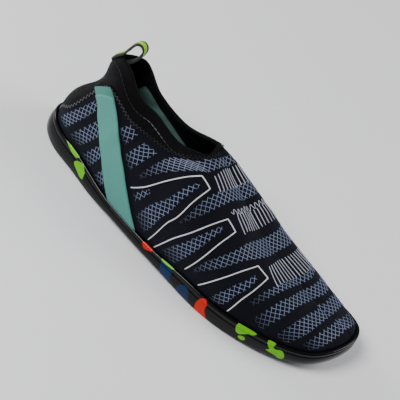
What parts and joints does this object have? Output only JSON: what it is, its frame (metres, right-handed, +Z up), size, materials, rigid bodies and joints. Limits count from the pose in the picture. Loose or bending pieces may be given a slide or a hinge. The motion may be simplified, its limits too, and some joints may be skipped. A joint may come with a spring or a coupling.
{
  "type": "water shoe",
  "caption": "Low slip-on water shoe for the right foot: hollow stretch upper with a soft collar and heel pull loop, a slanting strap on each side, rubber cup outsole and loose insole.",
  "frame": {"origin": "on the floor under the middle of the outsole's bounding box", "axes": "+X to the toe, +Y to the medial side, +Z up; the shoe stands empty on its sole"},
  "size_m": [0.27, 0.093, 0.1101],
  "materials": {
    "rubber": "smooth, glossy",
    "foam": "matte textile over foam",
    "knit": "matte stretch knit",
    "neoprene": "soft jersey over neoprene",
    "mint_webbing": "matte woven webbing",
    "lime_webbing": "matte woven webbing"
  },
  "bodies": {
    "root": {"outsole": "rubber", "insole": "foam", "upper": "knit", "collar": "neoprene", "strap_lateral": "mint_webbing", "strap_medial": "mint_webbing", "pull_loop": "lime_webbing"}
  },
  "joints": []
}
